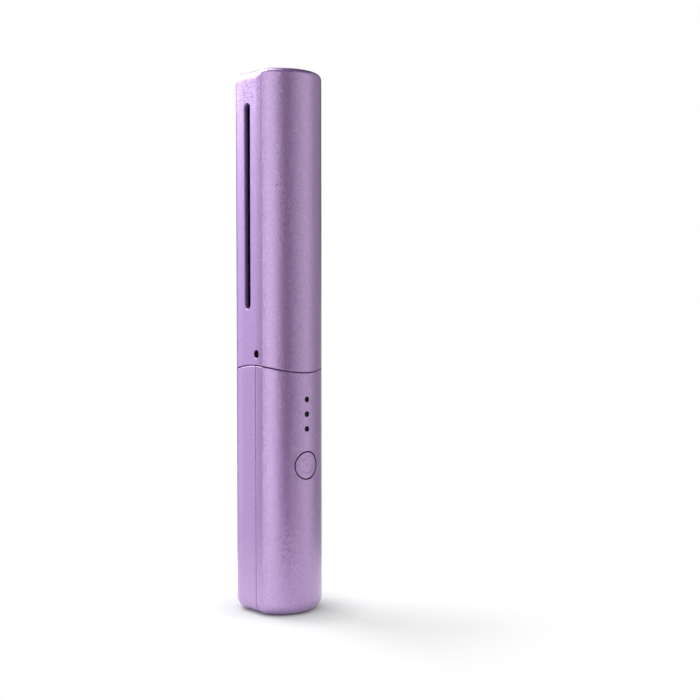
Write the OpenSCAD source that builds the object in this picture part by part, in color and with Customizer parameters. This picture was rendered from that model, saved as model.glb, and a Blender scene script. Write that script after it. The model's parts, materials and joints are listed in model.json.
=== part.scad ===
// Cordless hot comb with a slide-off cap, in millimetres.
// The origin is the middle of the base and +Z runs up the handle. +X is the side with the button,
// -X the plain side, -Y the side the teeth point to and +Y the comb's spine.

/* [Grip section] */
// Width of the handle and the cap, from the plain side to the button side
grip_w = 33; // [31:0.5:34]
// Depth of the handle and the cap, from the teeth side to the spine side
grip_d = 29; // [28.5:0.5:30]
// Width of the two flats, between their rounded long edges
flat_w = 13.1; // [12:0.1:15]
// Radius of the four long edges
corner_r = 3; // [2.6:0.1:3.4]
// Radius round the edge of the base
base_round = 4.9; // [4:0.1:5.4]
// Height of the whole object with its cap on
total_h = 205; // [200:1:212]

/* [Arched joint between handle and cap] */
// Height from the battery's top to the top of the arch
battery_headroom = 19.9; // [19.4:0.1:21]
// Distance of the arch's top from the middle, towards the button side
arch_x = 2.5; // [1.5:0.25:4.5]
// Radius of the arch
arch_r = 36; // [30:0.5:42]
// Seam left open between the handle and the cap
seam_gap = 0.3; // [0.25:0.05:0.4]

/* [Handle] */
// Wall of the two handle shells
shell_wall = 2; // [1.8:0.1:2.2]
// Thickness of the handle's base
base_wall = 2.4; // [2.2:0.1:2.8]
// Distance of the long shell seam from the middle, towards the button side
seam_x = 3.6; // [3:0.1:4.2]

/* [Cap] */
// Wall of the cap
cap_wall = 1.6; // [1.4:0.05:1.65]
// Thickness of the cap's top
cap_top_wall = 1.8; // [1.5:0.1:2.2]
// Radius round the cap's top edge
cap_round = 3.6; // [3:0.1:4.2]
// Width of the long slot in the cap's teeth side
slot_w = 3.2; // [2.5:0.1:4]
// Length of the long slot, round ends included
slot_len = 76.8; // [60:0.2:82]
// Distance from the cap's top to the slot's upper end
slot_drop = 12.4; // [10:0.2:16]
// Distance of the long slot from the middle, towards the plain side
slot_x = 1.1; // [0:0.1:2]
// Diameter of the two latch holes in the cap
latch_hole_d = 3; // [2.8:0.1:3.4]

/* [Collar and neck] */
// Step from the handle's surface in to the collar
collar_step = 2.1; // [2.05:0.05:2.3]
// Wall of the collar
collar_wall = 1.6; // [1.4:0.1:1.8]
// Height of the collar above the joint
collar_h = 7.5; // [6:0.5:8]
// Height of the neck's top above the top of the arch
neck_h = 17.7; // [17:0.1:19]
// Distance of the neck's teeth side from the middle
neck_front = 6.2; // [5.5:0.1:7]
// Radius of the thumb scoop in each side of the neck
scoop_r = 5.6; // [5:0.1:6]
// Width of the snap rib on the collar's plain side
snap_rib_w = 2.1; // [1.5:0.1:3]

/* [Comb head] */
// Thickness of the comb head
head_t = 10; // [9.4:0.2:11]
// Distance of the tooth tips from the middle
tip_reach = 10.4; // [9.5:0.1:11]
// Number of gaps in the plain side's row of teeth
gap_count = 15; // [12:1:16]
// Height of each gap at its root
gap_h = 2.75; // [2.2:0.05:3]
// Height of each tooth at its tip
tip_h = 1.7; // [1.4:0.1:2]
// Distance from the head's top to the middle of the first gap
first_gap_drop = 10; // [9.8:0.1:12]
// Height of the solid tooth under the last gap, up to the middle of that gap
bottom_tooth_h = 4.6; // [4.4:0.1:6]
// Radius of the head's domed top
dome_r = 31; // [28:1:36]
// Distance of the dome's highest line from the middle, towards the spine
dome_y = 7; // [5.5:0.5:7.5]
// Length of the slope at the tooth tips
tip_slope = 4.4; // [3.5:0.1:4.8]
// Length of the slope round the dome
dome_slope = 2.8; // [2.2:0.1:3.2]

/* [Heater] */
// Thickness of each heat plate
plate_t = 1.5; // [1.2:0.1:1.7]
// Thickness of the ceramic heater
heater_t = 1.6; // [1.2:0.1:1.8]
// Distance of the heat plates' teeth from the middle
plate_reach = 6.2; // [5.8:0.1:6.8]

/* [Button and lights] */
// Diameter of the power button
button_d = 10; // [9:0.2:11]
// Height of the button's centre
button_z = 56.8; // [46:0.2:58]
// Travel of the button
button_travel = 0.5; // [0.3:0.05:0.6]
// Gap round the button
button_gap = 0.35; // [0.3:0.05:0.5]
// Diameter of each light window
light_d = 2.1; // [1.8:0.1:2.4]
// Distance from one light to the next
light_pitch = 5.55; // [4.5:0.05:5.8]
// Distance from the comb's mounting plate down to the first light
light_drop = 4.2; // [3.4:0.1:5]

/* [Electronics] */
// Diameter of the battery cell
battery_d = 18.6; // [18.2:0.1:18.7]
// Length of the battery cell
battery_len = 65; // [60:0.5:66]
// Height of the battery cell's lower end
battery_z = 9.5; // [9.2:0.1:10]
// Thickness of the main board
board_t = 1.6; // [1:0.2:1.6]
// Width of the main board
board_w = 19; // [17:0.5:19.5]
// Width of the charging socket
usb_w = 8.94; // [8.5:0.02:9.2]
// Height of the charging socket
usb_h = 3.2; // [2.9:0.05:3.3]

/* [Hidden] */
$fn = 64;
side_steps = 10;
corner_steps = 4;
steps_per_mm = 1.6;
slice = 0.05;
far = 60;

purple = [0.62, 0.50, 0.72];
black = [0.05, 0.05, 0.06];
steel = [0.70, 0.71, 0.73];
nickel = [0.78, 0.76, 0.72];
green = [0.07, 0.30, 0.17];
white = [0.90, 0.90, 0.88];

// Clearances: sliding between the cap and what it covers, and fitted between fixed pieces
running = 0.3;
fitted = 0.1;

// Half sizes, the rounded sides' radius, which makes them tangent to the long edges, and the middle of
// the button side's arc
half_w = grip_w / 2;
half_d = grip_d / 2;
side_rise = half_w - flat_w / 2;
side_r = (pow(side_rise, 2) + pow(half_d - corner_r, 2) - pow(corner_r, 2)) / (2 * (side_rise - corner_r));
side_cx = half_w - side_r;
inner_x = half_w - shell_wall;

joint_z = battery_z + battery_len + battery_headroom;

// The comb: its spine is flush with the collar
spine_y = half_d - collar_step;
spine_round = 2.2;
half_head = head_t / 2;
head_top = total_h - cap_top_wall - 1;
foot_z = joint_z + neck_h;
first_gap_z = head_top - first_gap_drop;
gap_pitch = (first_gap_z - foot_z - bottom_tooth_h) / (gap_count - 1);
spine_arc_r = 4.5;
nose_r = 4;
toe_r = 2;
toe_fillet = 1.8;
tip_inset_x = 1.3;
tip_r = 0.8;
root_wall = 0.5;

// Heater stack, from the middle outwards
film_t = 0.1;
plate_in = heater_t / 2 + film_t;
plate_out = plate_in + plate_t;
plate_room = plate_out + fitted;
plate_back = spine_y - 3;
plate_web = plate_reach - 1.7;
plate_foot = foot_z - 0.6;
plate_top = head_top - 5;
heater_z0 = foot_z + 3.3;
heater_z1 = first_gap_z;
plate_screw_r = 0.8;
plate_screw_y = 4.5;
plate_screw_in = 1.75;
plate_screw_z = [plate_foot + plate_screw_in, plate_top - plate_screw_in];
sensor_r = 0.75;
sensor_h = 2.6;
fuse_r = 1.5;
fuse_h = 7;
lead_r = 0.6;
lead_y = [3, 6];

// Plate that ties the comb to the handle, held in a groove of the shells
mount_t = 1.6;
mount_z = arch_height(-half_w + 1.1, 0) - 2.1 - mount_t;
mount_top = mount_z + mount_t;
groove_depth = 1;
mount_screw_r = 0.85;
boss_r = 2.2;
boss_h = 9;
boss_y = half_d - collar_step - collar_wall - boss_r + 0.4;
mount_screws = [for (x = [0.36 * half_w, -0.42 * half_w], y = [boss_y, -boss_y]) [x, y]];

// Button stack, from the surface inwards, and the board behind it
button_back = inner_x - 2.2;
flange_r = button_d / 2 + button_gap + 0.35;
plunger_tip = button_back - fitted;
switch_face = button_back - button_travel - fitted;
switch_h = 1.5;
board_front = switch_face - switch_h;
board_back = board_front - board_t;
lead_x = board_back - lead_r - 0.05;
board_z0 = base_wall + 0.8;
board_z1 = mount_z - 0.2;
board_h = board_z1 - board_z0;
board_screw_r = 0.75;
board_screw_in = 2.5;
board_screw_yz = [for (y = [-1, 1], z = [0.19, 0.92])
    [y * (board_w / 2 - board_screw_in), board_z0 + z * board_h]];
light_z = [for (i = [0:2]) mount_z - light_drop - i * light_pitch];
led_t = 0.7;

battery_r = battery_d / 2;
battery_x = -(inner_x - battery_r - running);
battery_top = battery_z + battery_len;
tab_w = 5;
tab_t = 0.25;
latch_x = seam_x + 0.6;
latch_z = joint_z + 4.4;
peg_r = latch_hole_d / 2 - running;

// Height of the arch, raised by lift, at a distance x from the middle
function arch_height(x, lift) =
    joint_z + lift - arch_r + sqrt(arch_r * arch_r - (x - arch_x) * (x - arch_x));

// Points of an arc about c from angle a0 to a1
function arc(c, r, a0, a1, n) =
    [for (i = [0:n]) c + r * [cos(a0 + (a1 - a0) * i / n), sin(a0 + (a1 - a0) * i / n)]];

// ---------------------------------------------------------------- shared shapes

// Points of the plan outline moved in by inset, anticlockwise seen from above
function plan_points(inset) =
    let (r = max(corner_r - inset, 0.5), wide_r = side_r - inset, corner_y = half_d - inset - r,
        reach = sqrt(pow(wide_r - r, 2) - pow(corner_y, 2)), touch = atan2(corner_y, reach),
        side = arc([side_cx, 0], wide_r, 0, touch, side_steps),
        corner = arc([side_cx + reach, corner_y], r, touch, 90, corner_steps),
        quarter = concat(side, [for (i = [1:corner_steps]) corner[i]]),
        last = len(quarter) - 1)
    concat(quarter,
        [for (i = [last:-1:0]) [-quarter[i][0], quarter[i][1]]],
        [for (i = [1:last]) [-quarter[i][0], -quarter[i][1]]],
        [for (i = [last:-1:1]) [quarter[i][0], -quarter[i][1]]]);

// Plan outline of the grip, moved in by inset: two flats, two wide arcs and four round corners
module plan(inset) {
    polygon(plan_points(inset));
}

// Straight bar of the grip's section, from z0 to z1
module bar(inset, z0, z1) {
    translate([0, 0, z0]) linear_extrude(z1 - z0) plan(inset);
}

// Solid between outlines stacked upwards; each level is an inset and a height
module stack(levels) {
    rings = [for (level = levels) [for (p = plan_points(level[0])) [p[0], p[1], level[1]]]];
    n = len(rings[0]);
    top = (len(levels) - 1) * n;
    walls = [for (i = [0:len(levels) - 2]) for (k = [0:n - 1])
        let (a = i * n + k, b = i * n + (k + 1) % n)
        for (face = [[a, a + n, b + n], [a, b + n, b]]) face];
    polyhedron([for (ring = rings) for (p = ring) p],
        concat([[for (k = [0:n - 1]) k]], walls, [[for (k = [n - 1:-1:0]) top + k]]), convexity = 4);
}

// Bar whose end at z_end is rounded over; it runs on to z_far
module rounded_bar(inset, z_end, round_r, z_far) {
    way = z_far > z_end ? 1 : -1;
    steps = max(2, round(round_r * steps_per_mm));
    levels = concat(
        [for (i = [0:steps])
            let (a = 90 * i / steps)
            [inset + round_r * (1 - sin(a)), z_end + way * round_r * (1 - cos(a))]],
        [[inset, z_far]]);
    last = len(levels) - 1;
    stack(way > 0 ? levels : [for (i = [last:-1:0]) levels[i]]);
}

// Puts a shape drawn in X and Z through the whole depth of the object
module through_y() {
    translate([0, far / 2, 0]) rotate([90, 0, 0]) linear_extrude(far) children();
}

// Puts a shape drawn in Y and Z between x0 and x1
module through_x(x0, x1) {
    translate([x0, 0, 0]) rotate([90, 0, 90]) linear_extrude(x1 - x0) children();
}

// A cylinder along X from x0 to x1
module rod_x(r, x0, x1, y, z) {
    translate([x0, y, z]) rotate([0, 90, 0]) cylinder(h = x1 - x0, r = r);
}

// A cylinder along Y from y0 to y1
module rod_y(r, y0, y1, x, z) {
    translate([x, y0, z]) rotate([-90, 0, 0]) cylinder(h = y1 - y0, r = r);
}

// A block between two opposite corners
module block(a, b) {
    translate(a) cube(b - a);
}

// Everything under the arch, raised by lift
module under_arch(lift) {
    through_y() {
        translate([arch_x, joint_z + lift - arch_r]) circle(arch_r, $fn = 96);
        translate([-far / 2, -far]) square([far, far + joint_z + lift - arch_r]);
    }
}

// The button side's round surface, moved in by inset
module button_side_surface(inset) {
    translate([side_cx, 0, 0]) cylinder(h = joint_z, r = side_r - inset);
}

// ---------------------------------------------------------------- handle

module handle_blank() {
    difference() {
        intersection() {
            rounded_bar(0, 0, base_round, joint_z + 2);
            under_arch(0);
        }
        bar(shell_wall, base_wall, joint_z + 4);
        // groove for the mounting plate
        bar(groove_depth, mount_z - fitted / 2, mount_top + fitted / 2);
        // mouth of the charging socket
        usb_outline(0.25, -1, base_wall + 2);
    }
}

module usb_outline(gap, z0, z1) {
    r = usb_h / 2 + gap;
    x = board_back - usb_h / 2;
    reach = usb_w / 2 - usb_h / 2;
    translate([x, -reach, z0]) cylinder(h = z1 - z0, r = r);
    translate([x, reach, z0]) cylinder(h = z1 - z0, r = r);
    block([x - r, -reach, z0], [x + r, reach, z1]);
}

module handle_rear_shell() {
    rib_t = 1.6;
    color(purple) {
        intersection() {
            handle_blank();
            block([-far, -far, -1], [seam_x, far, total_h]);
        }
        // two cradle ribs that the battery lies in
        for (z = [battery_z + 0.12 * battery_len, battery_z + 0.8 * battery_len]) {
            difference() {
                intersection() {
                    bar(shell_wall - 0.3, z, z + rib_t);
                    block([-half_w, -far, z], [battery_x, far, z + rib_t]);
                }
                translate([battery_x, 0, z - 1]) cylinder(h = rib_t + 2, r = battery_r + fitted);
            }
        }
        // ledge that the battery's lower end stands over
        intersection() {
            bar(shell_wall - 0.3, base_wall, battery_z - tab_t - 0.25);
            block([-far, -1, 0], [battery_x - 3, 1, battery_z]);
        }
    }
}

module handle_front_cover() {
    lip_y = half_d - shell_wall - fitted;
    lip_z0 = battery_z + 2.5;
    lip_z1 = mount_z - 6;
    post_r = 2.1;
    color(purple) {
        difference() {
            union() {
                intersection() {
                    handle_blank();
                    block([seam_x, -far, -1], [far, far, total_h]);
                }
                for (p = board_screw_yz)
                    rod_x(post_r, board_front, inner_x - 0.9, p[0], p[1]);
            }
            for (p = board_screw_yz)
                rod_x(board_screw_r + 0.05, board_front - 1, inner_x - 1.4, p[0], p[1]);
            rod_x(button_d / 2 + button_gap, board_front, half_w + 1, 0, button_z);
            for (z = light_z)
                rod_x(light_d / 2, board_front, half_w + 1, 0, z);
        }
        // lips that snap inside the rear shell
        for (s = [-1, 1])
            block([seam_x - 1.4, s > 0 ? lip_y - 1 : -lip_y, lip_z0],
                [seam_x + 2, s > 0 ? lip_y : 1 - lip_y, lip_z1]);
        // blocks that tie each lip to the cover's flat
        for (s = [-1, 1])
            block([seam_x, s > 0 ? lip_y - 0.5 : -half_d + 1, lip_z0 + 2],
                [seam_x + 1.8, s > 0 ? half_d - 1 : 0.5 - lip_y, lip_z1 - 2]);
    }
}

// ---------------------------------------------------------------- cap

module cap() {
    slot_top = total_h - slot_drop - slot_w / 2;
    slot_bottom = total_h - slot_drop - slot_len + slot_w / 2;
    color(purple)
    difference() {
        rounded_bar(0, total_h, cap_round, joint_z - arch_r / 2);
        bar(cap_wall, joint_z - arch_r, total_h - cap_top_wall);
        under_arch(seam_gap);
        // long slot through the teeth side
        rod_y(slot_w / 2, -half_d - 1, -half_d + cap_wall + 1, -slot_x, slot_top);
        rod_y(slot_w / 2, -half_d - 1, -half_d + cap_wall + 1, -slot_x, slot_bottom);
        block([-slot_x - slot_w / 2, -half_d - 1, slot_bottom],
            [-slot_x + slot_w / 2, -half_d + cap_wall + 1, slot_top]);
        // latch holes
        rod_y(latch_hole_d / 2, -far / 2, far / 2, latch_x, latch_z);
    }
}

// ---------------------------------------------------------------- comb

// Side outline of the head, drawn in Y and Z and moved in at the tips and round the dome
module head_outline(tip_in, dome_in) {
    top_r = dome_r - dome_in;
    nose = max(nose_r - tip_in, 0.6);
    toe = max(toe_r - tip_in, 0.6);
    dome_c = [dome_y, head_top - dome_r];
    back_c = [spine_y - spine_arc_r,
        dome_c[1] + sqrt(pow(top_r - spine_arc_r, 2) - pow(spine_y - spine_arc_r - dome_c[0], 2))];
    nose_y = -tip_reach + tip_in + nose;
    nose_c = [nose_y, dome_c[1] + sqrt(pow(top_r - nose, 2) - pow(nose_y - dome_c[0], 2))];
    toe_c = [-tip_reach + tip_in + toe, foot_z + toe];
    back_a = atan2(back_c[1] - dome_c[1], back_c[0] - dome_c[0]);
    nose_a = atan2(nose_c[1] - dome_c[1], nose_c[0] - dome_c[0]);
    polygon(concat(
        arc(back_c, spine_arc_r, 0, back_a, 8),
        arc(dome_c, top_r, back_a, nose_a, 10),
        arc(nose_c, nose, nose_a, 180, 6),
        arc(toe_c, toe, 180, 270, 5),
        [[spine_y, foot_z]]));
}

// Head block, sloped off towards its tooth tips and round its dome
module head_block() {
    intersection() {
        hull() {
            through_x(-half_head + tip_inset_x, half_head - tip_inset_x) head_outline(0, 0);
            through_x(-half_head, -half_head + slice) head_outline(tip_slope, dome_slope);
            through_x(half_head - slice, half_head) head_outline(tip_slope, dome_slope);
        }
        // round edges along the spine
        translate([0, 0, foot_z - 1]) linear_extrude(total_h) {
            translate([-half_head, -far]) square([head_t, far + spine_y - spine_round]);
            translate([-half_head + spine_round, -far]) square([head_t - 2 * spine_round, far + spine_y]);
            for (s = [-1, 1])
                translate([s * (half_head - spine_round), spine_y - spine_round]) circle(spine_round);
        }
    }
}

// One side of the shoulder, drawn from the collar's edge up to the neck: a slope and a hollow fillet
function shoulder(edge, neck, edge_z, slope, fillet_r) =
    let (cx = neck + fillet_r, cz = edge_z + tan(slope) * (edge - cx) + fillet_r / cos(slope))
    concat([[edge, edge_z]],
        [for (p = arc([0, 0], fillet_r, slope - 90, 0, 8)) [cx - p[0], cz + p[1]]]);

// Collar, shoulder and neck
module neck_block() {
    edge_x = half_w - collar_step;
    neck_x = half_head - 0.2;
    lift = 1;
    plain = shoulder(edge_x, neck_x, arch_height(-edge_x, collar_h), 35, 3);
    button = shoulder(edge_x, neck_x, arch_height(edge_x, collar_h), 22, 3);
    front = shoulder(spine_y, neck_front, arch_height(0, collar_h) - 1.2, 32, 3.4);
    top = foot_z + lift;
    intersection() {
        bar(collar_step, mount_top, top);
        union() {
            under_arch(collar_h);
            through_y()
                polygon(concat(
                    [[-edge_x, mount_z - 1]],
                    [for (p = plain) [-p[0], p[1]]],
                    [[-neck_x, top], [neck_x, top]],
                    [for (i = [len(button) - 1:-1:0]) button[i]],
                    [[edge_x, mount_z - 1]]));
        }
        through_x(-far / 2, far / 2)
            polygon(concat(
                [[-spine_y - 1, mount_z - 1], [-spine_y - 1, front[0][1] - 1]],
                [for (p = front) [-p[0], p[1]]],
                arc([-neck_front - toe_fillet, foot_z - toe_fillet], toe_fillet, 0, 90, 5),
                [[-neck_front - toe_fillet, top], [far, top], [far, mount_z - 1]]));
    }
}

// Thumb scoops in both sides of the neck, round at the spine end
module scoops() {
    x = half_head + scoop_r - 2.4;
    z = foot_z - scoop_r + 0.2;
    for (s = [-1, 1]) {
        rod_y(scoop_r, -far / 2, spine_y - 6, s * x, z);
        translate([s * x, spine_y - 6, z]) sphere(scoop_r);
    }
}

// One row of gaps between teeth; side is -1 for the plain row and 1 for the button row
module tooth_gaps(side) {
    r = gap_h / 2;
    root_y = spine_y - root_wall - r;
    tip_y = -tip_reach + tip_r;
    tip_half = tip_h / 2;
    mid = gap_pitch / 2;
    round_end = [for (p = arc([tip_y, mid - tip_half + tip_r], tip_r, 270, 180, 4)) p];
    upper = concat([[root_y, r]], round_end, [[-tip_reach, mid], [-tip_reach - 1, mid]]);
    count = side < 0 ? gap_count : gap_count - 1;
    z0 = side < 0 ? first_gap_z : first_gap_z - gap_pitch / 2;
    x0 = side < 0 ? -half_head - 1 : plate_room - 0.2;
    x1 = side < 0 ? -plate_room + 0.2 : half_head + 1;
    for (i = [0:count - 1])
        translate([0, 0, z0 - i * gap_pitch])
            through_x(x0, x1) {
                translate([root_y, 0]) circle(r);
                polygon(concat(upper, [for (i = [len(upper) - 1:-1:0]) [upper[i][0], -upper[i][1]]]));
            }
}

// Room inside the comb for the heater, its leads and the collar's hollow
module comb_rooms() {
    roof = -1.3;
    lead_half = lead_r + 0.5;
    // heater and plates
    block([-plate_room, -plate_reach - fitted, plate_foot - fitted],
        [plate_room, plate_back + fitted, plate_top + fitted]);
    // slit between the two rows of teeth
    block([-plate_room, -tip_reach - 1, foot_z + bottom_tooth_h - gap_h / 2],
        [plate_room, 0, first_gap_z + gap_h / 2]);
    // channel for the leads
    block([-lead_half, lead_y[0] - 1.5, joint_z], [lead_half, lead_y[1] + 2, foot_z]);
    // hollow collar
    intersection() {
        bar(collar_step + collar_wall, mount_z, foot_z - 5);
        under_arch(collar_h + roof);
    }
    // screw heads in the plain half, screw ends in the button half
    for (z = plate_screw_z) {
        rod_x(2 * plate_screw_r + 0.2, -plate_out - 1.2, 0, plate_screw_y, z);
        rod_x(plate_screw_r + 0.2, 0, plate_out + 0.8, plate_screw_y, z);
    }
    // seats of the latch pegs
    rod_y(peg_r + fitted / 2, -far / 2, far / 2, latch_x, latch_z);
}

// Region of one half: the seam lies at the handle's seam up the collar, then jogs to the middle
module comb_side(side) {
    jog0 = joint_z + collar_h;
    jog1 = jog0 + 4;
    seam = [[seam_x, 0], [seam_x, jog0], [0, jog1], [0, total_h]];
    edge = side * far;
    through_y() polygon(concat(seam, [[edge, total_h], [edge, 0]]));
}

module comb_half(side) {
    difference() {
        union() {
            intersection() {
                difference() {
                    union() {
                        head_block();
                        neck_block();
                    }
                    scoops();
                    comb_rooms();
                }
                comb_side(side);
            }
            // bosses for the mounting screws
            for (p = mount_screws)
                if (side * (p[0] - seam_x) > 0)
                    intersection() {
                        translate([p[0], p[1], mount_top]) cylinder(h = boss_h, r = boss_r);
                        bar(collar_step + 0.3, mount_top, joint_z);
                        comb_side(side);
                    }
        }
        tooth_gaps(side);
        for (p = mount_screws)
            translate([p[0], p[1], mount_top - 1]) cylinder(h = boss_h - 1.5, r = mount_screw_r + 0.05);
    }
}

module comb_shell_plain() {
    rib_x = half_w - collar_step;
    rib_z = arch_height(-rib_x - 0.25, 0) + 0.3;
    rib_h = 0.8 * collar_h;
    color(purple) {
        comb_half(-1);
        // snap rib on the collar
        intersection() {
            bar(collar_step - 0.25, rib_z, rib_z + rib_h);
            block([-rib_x - 1, -snap_rib_w - 0.2, rib_z], [-rib_x + 0.8, -0.2, rib_z + rib_h]);
        }
    }
}

module comb_shell_button() {
    color(purple) comb_half(1);
}

module latch_pegs() {
    inner_y = spine_y - collar_wall;
    head_h = 0.9;
    proud = 0.25;
    color(purple)
    for (s = [-1, 1])
        mirror([0, s < 0 ? 1 : 0, 0]) {
            rod_y(peg_r, inner_y - head_h / 2, spine_y + proud, latch_x, latch_z);
            rod_y(peg_r + 0.3, inner_y - head_h, inner_y, latch_x, latch_z);
        }
}

// ---------------------------------------------------------------- heater

// Heat plate of one side: a web and short teeth that line up with that side's row
module heat_plate(side) {
    x0 = side < 0 ? -plate_out : plate_in;
    z0 = side < 0 ? first_gap_z : first_gap_z - gap_pitch / 2;
    count = side < 0 ? gap_count : gap_count - 1;
    tooth_h = gap_pitch - gap_h + 0.9;
    difference() {
        union() {
            through_x(x0, x0 + plate_t)
                polygon([[plate_back, plate_foot], [plate_back, plate_top],
                    [-plate_web, plate_top], [-plate_web, plate_foot]]);
            for (i = [0:count - 2])
                translate([0, 0, z0 - (i + 0.5) * gap_pitch])
                    through_x(x0, x0 + plate_t)
                        polygon([[-plate_web + 0.5, tooth_h / 2], [-plate_web + 0.5, -tooth_h / 2],
                            [-plate_reach, -tooth_h / 2 + 1], [-plate_reach, tooth_h / 2 - 1]]);
        }
        for (z = plate_screw_z)
            rod_x(plate_screw_r + 0.05, -plate_out - 1, plate_out + 1, plate_screw_y, z);
    }
}

module heat_plate_plain() {
    color(black) heat_plate(-1);
}

module heat_plate_button() {
    color(black) heat_plate(1);
}

module ceramic_heater() {
    color(white)
    block([-heater_t / 2, -2, heater_z0], [heater_t / 2, plate_back - 1, heater_z1]);
}

module heater_insulators() {
    color("goldenrod")
    for (x = [-plate_in, heater_t / 2])
        block([x, -2.6, heater_z0 - 0.6], [x + film_t, plate_back - 0.4, heater_z1 + 0.6]);
}

module plate_screws() {
    color(steel)
    for (z = plate_screw_z) {
        rod_x(2 * plate_screw_r, -plate_out - 0.9, -plate_out, plate_screw_y, z);
        rod_x(plate_screw_r, -plate_out - 0.1, plate_out + 0.6, plate_screw_y, z);
    }
}

module temperature_sensor() {
    pin = [0.2, 0.3, 1];
    color(black)
    translate([0, -sensor_r, heater_z0 - sensor_h]) {
        cylinder(h = sensor_h, r = sensor_r);
        for (x = [-0.3, 0.1])
            translate([x, -pin[1] / 2, 0.2 - pin[2]]) cube(pin);
    }
}

module thermal_fuse() {
    color(steel)
    translate([-2 * fuse_r, 0, mount_top]) {
        cylinder(h = fuse_h, r = fuse_r);
        cylinder(h = 1.2 * fuse_h, r = 0.6 * fuse_r);
    }
}

// Tube along points that all lie in one plane of constant y
function unit(v) = v / norm(v);
function way(p, i) = unit(p[min(i + 1, len(p) - 1)] - p[max(i - 1, 0)]);
module lead(path, r, y) {
    sides = 8;
    points = [for (i = [0:len(path) - 1]) let (t = way(path, i))
        for (k = [0:sides - 1]) let (a = 360 * k / sides)
            [path[i][0] + r * cos(a) * t[1], y + r * sin(a), path[i][1] - r * cos(a) * t[0]]];
    last = (len(path) - 1) * sides;
    walls = [for (i = [0:len(path) - 2]) for (k = [0:sides - 1])
        let (a = i * sides + k, b = i * sides + (k + 1) % sides)
            [a, a + sides, b + sides, b]];
    polyhedron(points, concat([[for (k = [0:sides - 1]) k]], walls,
        [[for (k = [sides - 1:-1:0]) last + k]]), convexity = 4);
}

module heater_leads() {
    drop = joint_z - mount_top;
    path = [[0, heater_z0 - 0.1], [0, foot_z], [0, foot_z - 0.34 * neck_h], [0, joint_z + 0.28 * neck_h],
        [0.12 * lead_x, joint_z + 0.1 * drop], [0.4 * lead_x, joint_z - 0.4 * drop],
        [0.72 * lead_x, mount_top + 0.25 * drop], [0.96 * lead_x, mount_top],
        [lead_x, mount_z - 1.2 * mount_t], [lead_x, mount_z - 3 * mount_t]];
    color("firebrick")
    for (y = lead_y)
        lead(path, lead_r, y);
}

// ---------------------------------------------------------------- mounting plate

module comb_mount_plate() {
    color(black)
    difference() {
        bar(groove_depth + fitted, mount_z, mount_top);
        for (p = mount_screws)
            translate([p[0], p[1], mount_z - 1]) cylinder(h = mount_t + 2, r = mount_screw_r + 0.15);
        // way through for the leads
        block([lead_x - 3 * lead_r, lead_y[0] - 2 * lead_r, mount_z - 1],
            [lead_x + 2 * lead_r, lead_y[1] + 2 * lead_r, mount_top + 1]);
    }
}

module comb_mount_screws() {
    color(steel)
    for (p = mount_screws)
        translate([p[0], p[1], mount_z]) {
            translate([0, 0, -1.3 * mount_screw_r]) cylinder(h = 1.3 * mount_screw_r, r = 2 * mount_screw_r);
            translate([0, 0, -0.2]) cylinder(h = mount_t + boss_h - 3, r = mount_screw_r);
        }
}

// ---------------------------------------------------------------- battery

module battery_cell() {
    color([0.15, 0.45, 0.42])
    translate([battery_x, 0, battery_z]) {
        cylinder(h = battery_len, r = battery_r);
        translate([0, 0, battery_len - 0.2]) cylinder(h = 1, r = 0.32 * battery_r);
    }
}

module battery_positive_tab() {
    z = battery_top + 0.8;
    color(nickel)
    block([battery_x - tab_w / 2, -tab_w / 2, z], [board_back, tab_w / 2, z + tab_t]);
}

module battery_negative_tab() {
    color(nickel)
    block([battery_x - 0.8 * tab_w, -tab_w / 2, battery_z - tab_t], [board_back, tab_w / 2, battery_z]);
}

module battery_pads() {
    pad_h = 0.12 * battery_len;
    pad_half = 0.54 * battery_r;
    color(black)
    for (share = [0.23, 0.66])
        translate([0, 0, battery_z + share * battery_len])
            difference() {
                block([battery_x + 0.87 * battery_r, -pad_half, 0], [board_back, pad_half, pad_h]);
                translate([battery_x, 0, -1]) cylinder(h = pad_h + 2, r = battery_r);
            }
}

// ---------------------------------------------------------------- board

module main_board() {
    color(green)
    difference() {
        block([board_back, -board_w / 2, board_z0], [board_front, board_w / 2, board_z1]);
        for (p = board_screw_yz)
            rod_x(board_screw_r + 0.35, board_back - 1, board_front + 1, p[0], p[1]);
    }
}

module board_chips() {
    // laid out on a grid of 19 cells across the board, upwards from its lower edge
    cell = board_w / 19;
    // each entry: side of the board (1 is the button side), middle in Y and Z, size in Y and Z, height
    chips = [[1, 0, 37, 5, 5, 0.9], [1, -5.5, 27, 4, 5, 1.4], [1, 5.5, 28, 5, 5, 1.4],
        [1, 6, 45, 3, 3, 1], [1, -6, 45, 4, 3, 1.2], [1, -5.5, 63, 5, 6, 1.3],
        [1, 5.5, 63, 4, 5, 1.2], [-1, 6.5, 47, 2.5, 3.5, 1], [-1, -6.5, 33, 3, 4, 1]];
    color(black)
    for (c = chips) {
        y = c[1] * cell;
        z = board_z0 + c[2] * cell;
        half = [c[3] * cell / 2, c[4] * cell / 2];
        x0 = c[0] > 0 ? board_front : board_back - c[5] * cell;
        block([x0, y - half[0], z - half[1]], [x0 + c[5] * cell, y + half[0], z + half[1]]);
    }
}

module board_screws() {
    color(steel)
    for (p = board_screw_yz) {
        rod_x(2 * board_screw_r, board_back - 1.4 * board_screw_r, board_back, p[0], p[1]);
        rod_x(board_screw_r, board_back - 0.2, inner_x - 1.5, p[0], p[1]);
    }
}

module usb_c_socket() {
    depth = 7.3;
    z0 = 0.6;
    color(steel)
    difference() {
        usb_outline(0, z0, z0 + depth);
        usb_outline(-0.3, z0 - 1, z0 + depth - 0.8);
    }
    color(black)
    block([board_back - usb_h / 2 - 0.35, -3, z0 + 1], [board_back - usb_h / 2 + 0.35, 3, z0 + depth - 0.7]);
}

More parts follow.
